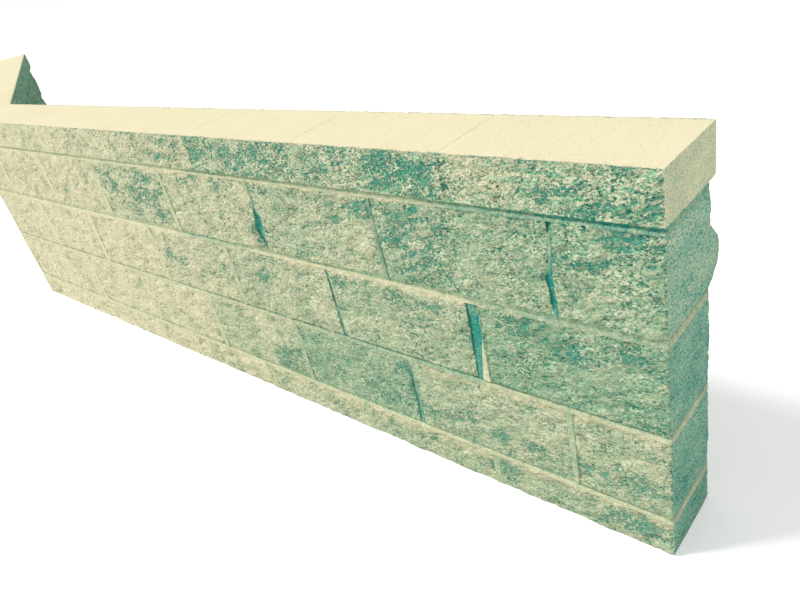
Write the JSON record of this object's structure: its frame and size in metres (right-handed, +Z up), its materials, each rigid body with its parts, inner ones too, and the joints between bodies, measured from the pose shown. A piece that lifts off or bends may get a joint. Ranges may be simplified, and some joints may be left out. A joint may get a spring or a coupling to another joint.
{
  "type": "block retaining wall",
  "caption": "Low retaining wall of split-face concrete masonry units in running bond with a smooth-topped cap course, bending back into a return run.",
  "frame": {"origin": "centre of the wall's bounding box at ground level, the underside of the starter course", "axes": "+X along the front run from the bend to its free end, +Y from the front face to the back face, +Z up"},
  "size_m": [5.0648, 1.1738, 0.8033],
  "materials": {
    "split_block": "rough split face, beige with green-grey flecks",
    "cap_stone": "smooth cream top with a rough split front",
    "mortar": "tooled cream mortar, sandy"
  },
  "bodies": {
    "root": {"bed_joint_cap": "mortar", "bed_joint_lower": "mortar", "bed_joint_middle": "mortar", "bed_joint_top": "mortar", "cap_block_1": "cap_stone", "cap_block_2": "cap_stone", "cap_block_3": "cap_stone", "cap_block_4": "cap_stone", "cap_block_5": "cap_stone", "cap_block_6": "cap_stone", "cap_block_7": "cap_stone", "head_joints_cap": "mortar", "head_joints_lower": "mortar", "head_joints_middle": "mortar", "head_joints_starter": "mortar", "head_joints_top": "mortar", "lower_block_1": "split_block", "lower_block_2": "split_block", "lower_block_3": "split_block", "lower_block_4": "split_block", "lower_block_5": "split_block", "lower_block_6": "split_block", "lower_block_7": "split_block", "lower_block_8": "split_block", "middle_block_1": "split_block", "middle_block_2": "split_block", "middle_block_3": "split_block", "middle_block_4": "split_block", "middle_block_5": "split_block", "middle_block_6": "split_block", "middle_block_7": "split_block", "return_cap_course": "cap_stone", "return_lower_course": "split_block", "return_middle_course": "split_block", "return_starter_course": "split_block", "return_top_course": "split_block", "starter_course": "split_block", "top_block_1": "split_block", "top_block_2": "split_block", "top_block_3": "split_block", "top_block_4": "split_block", "top_block_5": "split_block", "top_block_6": "split_block", "top_block_7": "split_block", "top_block_8": "split_block"}
  },
  "joints": []
}
